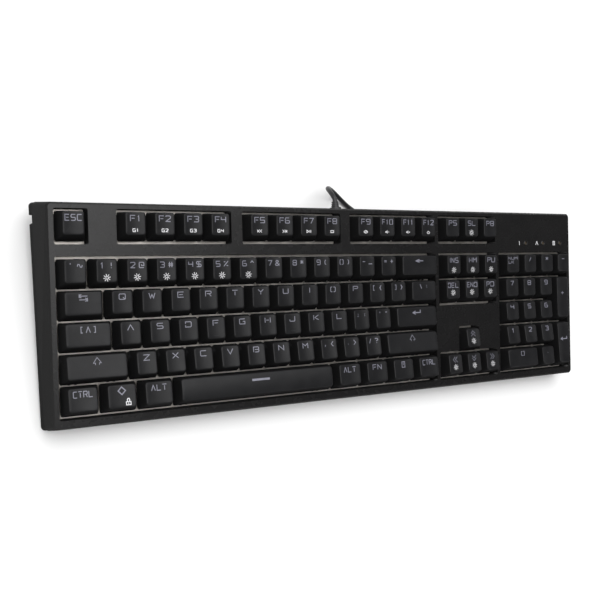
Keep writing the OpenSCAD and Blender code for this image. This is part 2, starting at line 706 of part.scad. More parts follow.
// The free cord: out of the rear, round and down to the desk, and under the raised rear edge.
// Its points are heights above the desk, and distances from the exit to the right and rear
CORD_FROM = [exit_x, to_desk(lead_end)[1], 0];
OUT_ROUTE = [
    [-0.6, 4.3, 27.2], [-0.8, 8.3, 24.6], [0.4, 11.7, 20.6], [3.2, 13.9, 16.4], [7.4, 14.5, 12.6],
    [12.4, 13.4, 9.2], [17.5, 11.2, 6.3], [22.4, 8.5, 4], [27.2, 5.5, 2.4], [32, 2.4, 1.8],
    [39, -2.2, 1.8], [46, -6.9, 1.8], [53, -11.5, 1.9], [60, -16.1, 2.2], [66, -20.1, 2.5], [72, -24.1, 2.55],
];
TAIL_ROUTE = [
    [-3.8, -56.6, 6.15], [-11, -56.6, 5.9], [-18, -56.6, 5.3], [-25, -56.6, 4.6], [-32, -56.6, 4.1],
    [-39, -56.6, 4], [-46, -56.6, 4],
];
HANK_AT = CORD_FROM + [29.2, -38.9, 0];
hank_run = 66;       // straight part of each turn
hank_turn = 10.5;    // radius of the innermost turn
hank_turns = 3;
hank_layers = 2;
hank_pitch = 3.6;
tie_t = 0.8;
tie_w = 13;
hank_out = hank_turn + (hank_turns - 1) * hank_pitch + cord_d / 2;
hank_h = (hank_layers - 1) * hank_pitch + cord_d;

module cord_tube() {
    color("#161616") {
        tube(concat([to_desk(lead_end), to_desk(lead_end + [0, 1.5, 0])],
                    [for (p = OUT_ROUTE) CORD_FROM + p]), cord_d / 2);
        tube([for (p = TAIL_ROUTE) CORD_FROM + p], cord_d / 2);
    }
}
module stadium(r) {
    block2(hank_run, 2 * r);
    for (s = [-1, 1]) translate([s * hank_run / 2, 0]) circle(r, $fn = 64);
}
module cord_hank() {
    color("#161616") translate(HANK_AT + [0, 0, tie_t]) linear_extrude(hank_h) stadium(hank_out);
}
module cord_tie() {
    out = hank_out + tie_t;
    color("#303030") translate(HANK_AT) difference() {
        block(tie_w, 2 * out, 0, hank_h + 2 * tie_t);
        block(tie_w + 2, 2 * hank_out, tie_t, tie_t + hank_h);
    }
}
PLUG_AT = CORD_FROM + TAIL_ROUTE[len(TAIL_ROUTE) - 1];
grip_len = 28;
grip_w = 15.6;
grip_h = 8;
shell_len = 19;
module plug_grip() {
    color("#171717") translate(PLUG_AT) {
        translate([-4, 0, 0]) rotate([0, 90, 0]) cylinder(r1 = 3.2, r2 = 2.3, h = 4, $fn = 32);
        box(-grip_len, -4, -grip_w / 2, grip_w / 2, -grip_h / 2, grip_h / 2);
    }
}
module plug_shell() {
    color("#c9c9c6") translate(PLUG_AT + [-grip_len, 0, 0]) difference() {
        box(-shell_len, 0, -6, 6, -2.25, 2.25);
        box(-shell_len - 1, -8.8, -5.7, 5.7, 0, 1.95);
    }
}

bottom_case();
top_case();
switch_plate();
circuit_board();
switch_bases();
switch_covers();
switch_springs();
backlight_leds();
stabilizer_housings();
stabilizer_wires();
space_wire();
status_leds();
controller_chip();
cable_socket();
screws();
rubber_pads();
cable_grommet();
inner_lead();
cord_tube();
cord_hank();
cord_tie();
plug_grip();
plug_shell();
foot_left();
foot_right();
foot_tip_left();
foot_tip_right();
for (group = KEYS) key_group(group[1]);
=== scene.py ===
"""Full-size mechanical keyboard: the looks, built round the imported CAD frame.

Lengths are written in millimetres, in the desk frame or in the plate frame, and turned into
metres when a mesh is made. The plate frame has z = 0 on the top of the switch plate, y = 0 at
the front of the key field and x = 0 in the middle.
"""
import json
import math

import bpy
from mathutils import Matrix, Vector


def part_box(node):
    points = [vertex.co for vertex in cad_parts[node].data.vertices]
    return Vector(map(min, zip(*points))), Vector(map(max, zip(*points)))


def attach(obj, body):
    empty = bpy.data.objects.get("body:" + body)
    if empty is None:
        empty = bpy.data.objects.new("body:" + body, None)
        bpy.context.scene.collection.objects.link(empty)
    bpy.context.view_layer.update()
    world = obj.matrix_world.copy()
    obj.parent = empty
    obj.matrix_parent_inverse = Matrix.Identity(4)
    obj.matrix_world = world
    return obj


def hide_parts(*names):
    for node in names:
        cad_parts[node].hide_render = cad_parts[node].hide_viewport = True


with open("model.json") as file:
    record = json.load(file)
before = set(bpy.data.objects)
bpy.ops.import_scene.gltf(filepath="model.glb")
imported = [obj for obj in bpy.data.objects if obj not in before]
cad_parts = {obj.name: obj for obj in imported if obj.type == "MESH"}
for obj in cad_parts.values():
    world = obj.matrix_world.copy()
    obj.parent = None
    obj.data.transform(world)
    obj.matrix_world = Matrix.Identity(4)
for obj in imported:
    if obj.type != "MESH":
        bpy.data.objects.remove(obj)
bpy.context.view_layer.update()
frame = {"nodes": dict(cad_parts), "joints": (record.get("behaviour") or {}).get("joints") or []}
nodes = frame["nodes"]
scene = bpy.context.scene
scene.view_settings.view_transform = "Standard"

MM = 0.001
PLATE_FRONT = -3
PLATE_T = 1.5
slide = next(j for j in frame["joints"] if j["name"] == "esc_press")["axis"]
TILT = math.atan2(slide[1], -slide[2])
low = [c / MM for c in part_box("switch_plate")[0]]
DESK = Matrix.Scale(MM, 4)
PLATE = (DESK @ Matrix.Translation((0, low[1] - PLATE_FRONT * math.cos(TILT),
                                    low[2] - PLATE_FRONT * math.sin(TILT) + PLATE_T * math.cos(TILT)))
         @ Matrix.Rotation(TILT, 4, "X"))
FOOT_TILT = math.radians(6)   # between the underside and the desk

# ------------------------------------------------------------------ camera
CAMERA_AT = Vector((-0.34124, -0.08632, 0.52572))
LOOK = Vector((0.50730, 0.14760, -0.84903)).normalized()
UP = Vector((0.03544, 0.98082, 0.19168))
camera = bpy.data.cameras.new("camera")
camera.lens = 50.19
camera.sensor_width = 36
camera_object = bpy.data.objects.new("camera", camera)
right = LOOK.cross(UP).normalized()
turn = Matrix((right, right.cross(LOOK), -LOOK)).transposed()
camera_object.matrix_world = Matrix.Translation(CAMERA_AT) @ turn.to_4x4()
scene.collection.objects.link(camera_object)
scene.camera = camera_object


# ------------------------------------------------------------------ materials
def new_material(name):
    mat = bpy.data.materials.new(name)
    mat.use_nodes = True
    tree = mat.node_tree
    tree.nodes.clear()
    out = tree.nodes.new("ShaderNodeOutputMaterial")
    shader = tree.nodes.new("ShaderNodeBsdfPrincipled")
    tree.links.new(shader.outputs[0], out.inputs[0])
    where = tree.nodes.new("ShaderNodeTexCoord")
    return mat, tree, shader, where


def noise(tree, where, scale, detail=3, stretch=(1, 1, 1)):
    mapping = tree.nodes.new("ShaderNodeMapping")
    mapping.inputs["Scale"].default_value = stretch
    tree.links.new(where.outputs["Object"], mapping.inputs[0])
    node = tree.nodes.new("ShaderNodeTexNoise")
    node.inputs["Scale"].default_value = scale
    node.inputs["Detail"].default_value = detail
    tree.links.new(mapping.outputs[0], node.inputs["Vector"])
    return node.outputs["Fac"]


def spread(tree, value, low_out, high_out, low_in=0.3, high_in=0.7):
    node = tree.nodes.new("ShaderNodeMapRange")
    node.inputs["From Min"].default_value = low_in
    node.inputs["From Max"].default_value = high_in
    node.inputs["To Min"].default_value = low_out
    node.inputs["To Max"].default_value = high_out
    tree.links.new(value, node.inputs["Value"])
    return node.outputs[0]


def mix(tree, factor, first, second):
    node = tree.nodes.new("ShaderNodeMix")
    node.data_type = "RGBA"
    tree.links.new(factor, node.inputs["Factor"])
    for socket, colour in ((node.inputs[6], first), (node.inputs[7], second)):
        if isinstance(colour, tuple):
            socket.default_value = (*colour, 1)
        else:
            tree.links.new(colour, socket)
    return node.outputs[2]


def finish(name, dark, light, rough, patch=45, grain=2200, bump=0.02, wear_and_edge_highlight=None, side_shade=None,
           stretch=(1, 1, 1), **sockets):
    """A moulded or metal surface. dark and light are the ends of its colour variation, rough the
    ends of its roughness, patch and grain the scales of the variation and of the fine bump, worn
    the colour of its rubbed edges and of a painted highlight along them, and sides the painted
    shade of its upright faces, which are darker than the tops and rougher too."""
    mat, tree, shader, where = new_material(name)
    cloud = noise(tree, where, patch, 4, stretch)
    fine = noise(tree, where, grain, 2, stretch)
    colour = mix(tree, spread(tree, cloud, 0, 1), dark, light)
    roughness = spread(tree, noise(tree, where, patch * 3, 4, stretch), *rough)
    geometry = tree.nodes.new("ShaderNodeNewGeometry")
    # Painted shade: upright faces get a darker colour than the tops, standing in for the shade that falls
    # on them, and are made rougher too
    if side_shade:
        split = tree.nodes.new("ShaderNodeSeparateXYZ")
        tree.links.new(geometry.outputs["Normal"], split.inputs[0])
        upright = spread(tree, split.outputs["Z"], 1, 0, 0.45, 0.85)
        colour = mix(tree, upright, colour, side_shade)
        rougher = tree.nodes.new("ShaderNodeMath")
        rougher.operation = "MAXIMUM"
        tree.links.new(roughness, rougher.inputs[0])
        tree.links.new(spread(tree, upright, 0, SIDE_ROUGHNESS, 0, 1), rougher.inputs[1])
        roughness = rougher.outputs[0]
    # Rubbed wear and a painted edge highlight: sharp edges, found by their pointiness, are made lighter in
    # patches
    if wear_and_edge_highlight:
        edge = spread(tree, geometry.outputs["Pointiness"], 0, 1, 0.53, 0.62)
        patchy = tree.nodes.new("ShaderNodeMath")
        patchy.operation = "MULTIPLY"
        tree.links.new(edge, patchy.inputs[0])
        tree.links.new(spread(tree, noise(tree, where, patch * 5, 4), 0.35, 1), patchy.inputs[1])
        colour = mix(tree, patchy.outputs[0], colour, wear_and_edge_highlight)
    tree.links.new(colour, shader.inputs["Base Color"])
    tree.links.new(roughness, shader.inputs["Roughness"])
    if bump:
        node = tree.nodes.new("ShaderNodeBump")
        node.inputs["Strength"].default_value = 1
        node.inputs["Distance"].default_value = bump * MM
        tree.links.new(fine, node.inputs["Height"])
        tree.links.new(node.outputs[0], shader.inputs["Normal"])
    for socket, value in sockets.items():
        shader.inputs[socket.replace("_", " ")].default_value = value
    return mat


SIDE_ROUGHNESS = 0.95
# The side colours of the case, the lower shell and the caps below are painted shade on their upright faces
BEZEL = finish("case_grain", (0.0096, 0.0094, 0.0096), (0.0116, 0.0112, 0.0114), (0.25, 0.29),
               grain=2600, bump=0.008, side_shade=(0.0035, 0.0034, 0.0034),
               Specular_IOR_Level=0.29)
SHELL = finish("case_lower", (0.006, 0.006, 0.006), (0.009, 0.0087, 0.0087), (0.5, 0.66), grain=2400,
               bump=0.03, side_shade=(0.005, 0.0049, 0.0049), Specular_IOR_Level=0.2)
# The caps' worn colour is rubbed wear together with a painted highlight on their sharp edges
CAP = finish("keycap_matte", (0.0105, 0.0105, 0.0115), (0.0140, 0.0140, 0.0150), (0.30, 0.40), patch=70,
             grain=3200, bump=0.006, wear_and_edge_highlight=(0.026, 0.026, 0.028), side_shade=(0.0035, 0.0035, 0.0038),
             Specular_IOR_Level=0.18)
PRINT = finish("legend_grey", (0.17, 0.17, 0.21), (0.23, 0.23, 0.28), (0.35, 0.5), patch=300, bump=0.004)
PRINT_WHITE = finish("legend_white", (0.66, 0.66, 0.68), (0.80, 0.80, 0.82), (0.35, 0.5), patch=300,
                     bump=0.004)
PLATE_METAL = finish("plate_metal", (0.60, 0.56, 0.52), (0.72, 0.68, 0.63), (0.28, 0.42), patch=60,
                     grain=900, bump=0.006, stretch=(0.15, 1, 1), Metallic=0.55)
BOARD = finish("board_green", (0.010, 0.050, 0.022), (0.015, 0.070, 0.032), (0.3, 0.45), grain=700,
               bump=0.02)
SWITCH = finish("switch_black", (0.012, 0.012, 0.012), (0.018, 0.018, 0.018), (0.35, 0.5), grain=1600,
                bump=0.01)
COVER = finish("switch_cover", (0.030, 0.030, 0.032), (0.045, 0.045, 0.048), (0.2, 0.32), grain=1500,
               bump=0.008)
STEM = finish("switch_stem", (0.060, 0.090, 0.160), (0.080, 0.115, 0.195), (0.28, 0.4), grain=1500,
              bump=0.006)
SPRING = finish("spring_steel", (0.55, 0.50, 0.38), (0.68, 0.62, 0.48), (0.2, 0.35), bump=0.004, Metallic=1)
LENS = finish("led_lens", (0.60, 0.58, 0.50), (0.75, 0.73, 0.64), (0.12, 0.2), bump=0.002)
STATUS = finish("status_lens", (0.070, 0.054, 0.038), (0.100, 0.078, 0.056), (0.12, 0.22), bump=0.003,
                Transmission_Weight=0.25)
RIM_GLOSS = finish("rim_gloss", (0.006, 0.006, 0.006), (0.009, 0.009, 0.009), (0.2, 0.3), bump=0.003)
WIRE = finish("wire_steel", (0.50, 0.50, 0.50), (0.62, 0.62, 0.61), (0.22, 0.34), grain=900, bump=0.004,
              Metallic=1)
SCREW = finish("screw_zinc", (0.36, 0.36, 0.35), (0.48, 0.48, 0.46), (0.3, 0.45), grain=700, bump=0.01,
               Metallic=1)
CHIP = finish("chip_epoxy", (0.012, 0.012, 0.012), (0.020, 0.020, 0.020), (0.5, 0.65), bump=0.01)
SOCKET = finish("socket_nylon", (0.62, 0.58, 0.47), (0.72, 0.68, 0.56), (0.4, 0.55), bump=0.008)
RUBBER = finish("pad_rubber", (0.008, 0.008, 0.008), (0.014, 0.014, 0.014), (0.72, 0.88), grain=1400,
                bump=0.05)
JACKET = finish("cord_jacket", (0.010, 0.010, 0.011), (0.016, 0.016, 0.017), (0.34, 0.5), patch=120,
                grain=1500, bump=0.02)
STRAP = finish("tie_strap", (0.016, 0.016, 0.018), (0.034, 0.034, 0.036), (0.75, 0.9), patch=220,
               grain=1100, bump=0.15, Sheen_Weight=0.4)
PLUG = finish("plug_rubber", (0.011, 0.011, 0.012), (0.018, 0.018, 0.019), (0.42, 0.58), grain=1300,
              bump=0.03, wear_and_edge_highlight=(0.03, 0.03, 0.032))
METAL = finish("plug_metal", (0.60, 0.60, 0.59), (0.72, 0.72, 0.70), (0.16, 0.3), grain=1000, bump=0.003,
               Metallic=1)
TONGUE = finish("plug_tongue", (0.70, 0.70, 0.68), (0.80, 0.80, 0.78), (0.4, 0.5), bump=0.004)
FOOT = finish("foot_plastic", (0.013, 0.013, 0.0135), (0.020, 0.020, 0.0205), (0.45, 0.6), grain=2000,
              bump=0.03)


# ------------------------------------------------------------------ mesh building
class Shape:
    """Vertices and faces that several parts of one piece are added to."""

    def __init__(self):
        self.verts, self.faces = [], []

    def ring(self, points, at=(0, 0, 0)):
        start = len(self.verts)
        self.verts += [(p[0] + at[0], p[1] + at[1], p[2] + at[2]) for p in points]
        return list(range(start, len(self.verts)))

    def bridge(self, a, b, closed=True):
        n = len(a)
        for i in range(n if closed else n - 1):
            j = (i + 1) % n
            self.faces.append((a[i], a[j], b[j], b[i]))

    def loft(self, rings, at=(0, 0, 0), caps=(True, True)):
        """Rings of points, anticlockwise seen from outside the last one, closed at the ends."""
        made = [self.ring(r, at) for r in rings]
        for a, b in zip(made, made[1:]):
            self.bridge(a, b)
        if caps[0]:
            self.faces.append(made[0][::-1])
        if caps[1]:
            self.faces.append(made[-1])
        return made

    def piece(self, name, material, body, slot, matrix=PLATE, sharp=35, replaces=()):
        mesh = bpy.data.meshes.new(name)
        mesh.from_pydata([matrix @ Vector(v) for v in self.verts], [], self.faces)
        mesh.materials.append(material)
        mesh.shade_smooth()
        mesh.set_sharp_from_angle(angle=math.radians(sharp))
        made = bpy.data.objects.new(name, mesh)
        scene.collection.objects.link(made)
        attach(made, body)
        if replaces:
            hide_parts(*replaces)
        return made


def circle(r, z, n=32, turn_by=0.0):
    return [(r * math.cos(turn_by + 2 * math.pi * i / n), r * math.sin(turn_by + 2 * math.pi * i / n), z)
            for i in range(n)]


def outline(w, front, rear, radius, z=0.0, corner=6, along=8):
    """A rounded rectangle, from x = -w to w and from y = -front to rear. z is a height or a function."""
    points = []
    corners = ((w - radius, -front + radius), (w - radius, rear - radius),
               (-w + radius, rear - radius), (-w + radius, -front + radius))
    for i, (cx, cy) in enumerate(corners):
        for j in range(corner + 1):
            a = math.pi / 2 * (i - 1 + j / corner)
            points.append((cx + radius * math.cos(a), cy + radius * math.sin(a)))
        nx, ny = corners[(i + 1) % 4]
        a = math.pi / 2 * i
        end = (nx + radius * math.cos(a), ny + radius * math.sin(a))
        start = points[-1]
        points += [(start[0] + (end[0] - start[0]) * k / along, start[1] + (end[1] - start[1]) * k / along)
                   for k in range(1, along)]
    return [(x, y, z(x, y) if callable(z) else z) for x, y in points]


def soft_box(shape, w, d, z0, z1, edge=0.25, at=(0, 0, 0)):
    """A block with slightly rounded edges, its middle on at."""
    rings = []
    for inset, z in ((edge, z0), (edge * 0.3, z0 + edge * 0.3), (0, z0 + edge),
                     (0, z1 - edge), (edge * 0.3, z1 - edge * 0.3), (edge, z1)):
        rings.append(outline(w / 2 - inset, d / 2 - inset, d / 2 - inset, max(edge * 1.6 - inset, 0.05), z,
                             3, 1))
    shape.loft(rings, at)


# ------------------------------------------------------------------ the cord
def to_desk_from_case(x, y, z):
    c, s = math.cos(FOOT_TILT), math.sin(FOOT_TILT)
    return Vector((x, y * c - z * s, y * s + z * c))


CORD_D = 3.5
EXIT = Vector((-3, 72.884, 27.661))
OUT_DIRECTION = to_desk_from_case(0, 1, 0)
CORD_FROM = Vector((EXIT.x, EXIT.y, 0))
OUT_ROUTE = ((-0.6, 4.3, 27.2), (-0.8, 8.3, 24.6), (0.4, 11.7, 20.6), (3.2, 13.9, 16.4), (7.4, 14.5, 12.6),
             (12.4, 13.4, 9.2), (17.5, 11.2, 6.3), (22.4, 8.5, 4), (27.2, 5.5, 2.4), (32, 2.4, 1.8),
             (39, -2.2, 1.8), (46, -6.9, 1.8), (53, -11.5, 1.9), (60, -16.1, 2.2), (66, -20.1, 2.5))
TAIL_ROUTE = ((-3.8, -56.6, 6.15), (-11, -56.6, 5.9), (-18, -56.6, 5.3), (-25, -56.6, 4.6),
              (-32, -56.6, 4.1), (-39, -56.6, 4), (-46, -56.6, 4))
HANK_AT = CORD_FROM + Vector((29.2, -38.9, 0))
HANK_RUN = 66
HANK_RADII = (10.5, 14.1, 17.7)
LOWER_Z, UPPER_Z = 2.55, 6.15
TIE_T, TIE_W = 0.8, 13
FIRST_ANGLE = 56   # where the cord joins the outermost turn, on the right hand cap
GRIP_LEN, GRIP_W, GRIP_H = 28, 15.6, 8
SHELL_LEN = 19


def ease(t):
    t = min(max(t, 0), 1)
    return t * t * (3 - 2 * t)


def hank_points():
    """Three turns inwards on the desk, a climb, and three turns outwards on top of them."""
    points = []
    turns = [(r, LOWER_Z) for r in reversed(HANK_RADII)] + [(r, UPPER_Z) for r in HANK_RADII]
    for i, (r, z) in enumerate(turns):
        start = FIRST_ANGLE if i == 0 else 90
        for a in range(start, -90, -12):
            points.append((HANK_RUN / 2 + r * math.cos(math.radians(a)), r * math.sin(math.radians(a)), z))
        if i == len(turns) - 1:
            points += [(x, -r, z) for x in (32, 22, 11, 0, -11, -22)]
            break
        points += [(HANK_RUN / 2 - HANK_RUN * k / 6, -r, z) for k in range(6)]
        for a in range(-90, -270, -12):
            points.append((-HANK_RUN / 2 + r * math.cos(math.radians(a)), r * math.sin(math.radians(a)), z))
        to_r, to_z = turns[i + 1]
        # On the rear run the upper turns shift first, then the cord climbs, and the lower turns shift last
        third = 2 if z == to_z == LOWER_Z else 1 if z != to_z else 0
        for k in range(18):
            t = ease(k / 18 * 3 - third)
            points.append((-HANK_RUN / 2 + HANK_RUN * k / 18, r + (to_r - r) * t, z + (to_z - z) * t))
    return [HANK_AT + Vector(p) for p in points]


cord_points = ([EXIT, EXIT + 1.5 * OUT_DIRECTION] + [CORD_FROM + Vector(p) for p in OUT_ROUTE]
               + hank_points() + [CORD_FROM + Vector(p) for p in TAIL_ROUTE])
curve = bpy.data.curves.new("cord_line", "CURVE")
curve.dimensions = "3D"
curve.bevel_depth = CORD_D / 2 * MM
curve.bevel_resolution = 5
curve.resolution_u = 3
curve.use_fill_caps = True
spline = curve.splines.new("BEZIER")
spline.bezier_points.add(len(cord_points) - 1)
for knot, point in zip(spline.bezier_points, cord_points):
    knot.co = point * MM
    knot.handle_left_type = knot.handle_right_type = "AUTO"
curve.materials.append(JACKET)
cord_line = bpy.data.objects.new("cord_line", curve)
scene.collection.objects.link(cord_line)
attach(cord_line, "case")
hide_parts("cord_tube", "cord_hank")

# The plug: a ribbed bend relief, a waisted grip and a folded steel shell round a white tongue
plug_at = CORD_FROM + Vector(TAIL_ROUTE[-1])
PLUG_FRAME = DESK @ Matrix.Translation(plug_at) @ Matrix.Rotation(-math.pi / 2, 4, "Y")
grip = Shape()
grip.loft([circle(r, -4 + z, 28) for z, r in
           ((8, 2.0), (8, 2.35), (7.3, 2.45), (7.1, 2.2), (6.5, 2.2), (6.3, 2.6), (5.6, 2.65), (5.4, 2.35),
            (4.9, 2.4), (4.7, 2.95), (4.0, 3.0), (4.0, 2.0))][::-1], at=(0, 0, 0))


def grip_ring(z, w, d, radius):
    return outline(d, w, w, radius, z, 5, 3)


grip.loft([grip_ring(4 + t * (GRIP_LEN - 4), GRIP_W / 2 - dw, GRIP_H / 2 - dd, max(2.4 - 0.5 * dd, 0.4))
           for t, dw, dd in ((0, 3.0, 1.6), (0.012, 2.2, 0.9), (0.05, 1.5, 0.45), (0.14, 0.9, 0.15),
                             (0.3, 0.35, 0),
                             (0.44, 0.3, 0.1), (0.46, 0.55, 0.4), (0.50, 0.55, 0.4), (0.52, 0.3, 0.1),
                             (0.58, 0.3, 0.1), (0.60, 0.55, 0.4), (0.64, 0.55, 0.4), (0.66, 0.25, 0.1),
                             (0.72, 0.2, 0.1), (0.74, 0.5, 0.4), (0.78, 0.5, 0.4), (0.80, 0.15, 0.05),
                             (0.96, 0, 0), (0.985, 0.2, 0.2), (1, 0.6, 0.6))])
grip_piece = grip.piece("plug_grip_moulded", PLUG, "case", "plug_rubber", PLUG_FRAME, 40, ("plug_grip",))

shell = Shape()
outer = [outline(2.25 - i, 6 - i, 6 - i, 0.6 - i / 2, z, 4, 2)
         for z, i in ((GRIP_LEN, 0), (GRIP_LEN + SHELL_LEN - 0.3, 0), (GRIP_LEN + SHELL_LEN, 0.12))]
inner = [outline(1.95, 5.7, 5.7, 0.35, z, 4, 2) for z in (GRIP_LEN + SHELL_LEN, GRIP_LEN + SHELL_LEN - 8.8)]
shell.loft(outer + inner)
for side in (-1, 1):
    for y in (-2.6, 2.6):
        soft_box(shell, 0.12, 2.2, 0, 2.2, 0.05, (side * 2.27, y, GRIP_LEN + SHELL_LEN - 8))
shell_piece = shell.piece("plug_shell_steel", METAL, "case", "plug_metal", PLUG_FRAME, 30, ("plug_shell",))
tongue = Shape()
soft_box(tongue, 1.8, 11.2, 0, 8.2, 0.15, (-0.95, 0, GRIP_LEN + SHELL_LEN - 9))
tongue_piece = tongue.piece("plug_tongue", TONGUE, "case", "plug_metal", PLUG_FRAME)
contacts = Shape()
for y in (-3.5, -1, 1, 3.5):
    soft_box(contacts, 0.1, 1, 0, 6.4, 0.03, (-0.02, y, GRIP_LEN + SHELL_LEN - 8))
contacts_piece = contacts.piece("plug_contacts", SPRING, "case", "plug_metal", PLUG_FRAME)

# The tie: a woven strap round the hank
hank_half = HANK_RADII[-1] + CORD_D / 2
tie = Shape()
strap_path = []
hank_top = UPPER_Z + CORD_D / 2
for cx, cz, a0 in ((hank_half - 1.6, 1.6 + 0.8, -90), (hank_half - 1.6, hank_top - 1.6, 0),
                   (-hank_half + 1.6, hank_top - 1.6, 90), (-hank_half + 1.6, 1.6 + 0.8, 180)):
    for k in range(7):
        a = math.radians(a0 + 15 * k)
        strap_path.append((cx + 1.6 * math.cos(a), cz + 1.6 * math.sin(a), math.cos(a), math.sin(a)))


def strap_ring(x, lift):
    return [(x, y + ny * lift, z + nz * lift) for y, z, ny, nz in strap_path]


half = TIE_W / 2
tie.loft([strap_ring(x, lift) for x, lift in
          ((-half + 0.2, 0), (-half, 0.25), (-half, 0.55), (-half + 0.35, TIE_T),
           (-half + 1.2, TIE_T - 0.1),
           (half - 1.2, TIE_T - 0.1), (half - 0.35, TIE_T), (half, 0.55), (half, 0.25), (half - 0.2, 0),
           (-half + 0.2, 0))], tuple(HANK_AT), (False, False))
tie_piece = tie.piece("cord_tie_strap", STRAP, "case", "tie_strap", DESK, 60, ("cord_tie",))

# The grommet: a flanged sleeve with a ribbed relief, in the wall behind the space between two key banks
GROMMET_FRAME = (DESK @ Matrix.Translation(EXIT) @ Matrix.Rotation(FOOT_TILT, 4, "X")
                 @ Matrix.Rotation(-math.pi / 2, 4, "X"))
grommet = Shape()
hole = CORD_D / 2 + 0.02
grommet.loft([circle(r, -z, 40) for z, r in
              ((-0.0, hole), (0.0, 2.25), (0.25, 2.42), (0.75, 2.5), (0.95, 2.3), (1.5, 2.35), (1.7, 2.66),
               (2.3, 2.74),
               (2.5, 2.5), (3.0, 2.55), (3.2, 2.9), (3.8, 2.98), (4.0, 2.75), (4.55, 2.8), (4.62,
                                                                                            4.1), (4.8,
                                                                                                   4.38),
               (5.2, 4.4), (6.4, 4.4), (6.4, 3.4), (10.4, 3.4), (10.4, 4.4), (11.7, 4.3), (11.8, 4.2),
               (11.8, hole))][::-1] + [circle(hole, 0.0, 40)], caps=(False, False))
grommet_piece = grommet.piece("cord_relief", PLUG, "case", "grommet_rubber", GROMMET_FRAME, 40,
                              ("cable_grommet",))

# ------------------------------------------------------------------ key data
UNIT = 19.05
FIELD_UNITS = 22.5
CAP_GAP, SKIRT_Z, TAPER, WALL, ROOF, DISH = 0.85, 6.2, 2.8, 1.4, 1.8, 0.6
DISH_RIM = 0.3
ROW_Y = (6, 4.5, 3.5, 2.5, 1.5, 0.5)
TOP_REAR = (15.9, 16.3, 14.7, 14.2, 14.4, 15.2)
TOP_FRONT = (15.6, 16.2, 14.9, 15.3, 16.5, 16.8)
FRONT_INSET, REAR_INSET = 3.7, 0.55
STAB_REACH, SPACE_REACH = 11.94, 50
CROWN = 1

# Strokes of each sign on a grid of 8 by 8: pairs of digits are points, and a space starts a new
# stroke. Small letters stand for symbols.
SIGNS = {
    "A": "004880", "B": "00087887857424 7483817020", "C": "881807011080", "D": "0508788781700003",
    "E": "88080080 2474", "F": "880800 2474", "G": "8818070110808454", "H": "0800 8880 2464",
    "I": "4840", "J": "888170100103", "K": "0800 882480", "L": "080080", "M": "0008448880",
    "N": "00088088", "O": "381807011030 587887817050", "P": "00087887857424",
    "Q": "180701107081877818 5380", "R": "00087887857424 5480", "S": "88180705147483817000",
    "T": "0888 4640", "U": "080110708188", "V": "084088", "W": "0820466088", "X": "0880 0088",
    "Y": "084488 4340", "Z": "08880080", "0": "381807011030 587887817050", "1": "264840",
    "2": "07187887850080", "3": "087887857434 7483817000", "4": "080484 8880",
    "5": "8808047483817000", "6": "78180701107081837424", "7": "088830",
    "8": "140507187887857414 1403011070818374", "9": "10708187781807051464",
    "-": "1474", "=": "1373 1575", "+": "4741 1474", "/": "2068", "\\": "2860", "[": "58282050",
    "]": "38686030", "{": "68474524434160", "}": "28474564434120", ";": "4645 4331",
    ":": "4645 4342", ".": "4241", ",": "4330", "<": "682460", ">": "286420",
    "?": "17286877754443 4140", "'": "4846", '"': "3836 5856", "~": "031636527285",
    "!": "4843 4140", "@": "80100107187887834345", "#": "2028 6068 0383 0585",
    "$": "88180705147483817000 4840", "%": "0088 0737 5181", "^": "154875",
    "&": "801628586602105083", "*": "4842 1773 1377", "(": "58363250", ")": "38565230", "_": "0080",
    "b": "8414 470441", "t": "8616 280624 0804 0272 648260 8480", "e": "888313 360330",
    "s": "20220248826260", "w": "0448844004", "y": "0004848000 242738586764 4341",
    "m": "1018787010 3656 3454", "u": "044884 004480", "d": "084488 044084", "l": "480440 884480",
    "r": "084400 488440", "q": "0800 481440 885480", "n": "083400 487440 8880",
    "p": "00084400 6860 8880", "x": "1117777111", "z": "305083855838050330 2266",
    "v": "03052548402303 6484", "k": "03052548402303 6484 7672", "i": "481320607348",
    "g": "1018787010 3656 3454 3252",
}

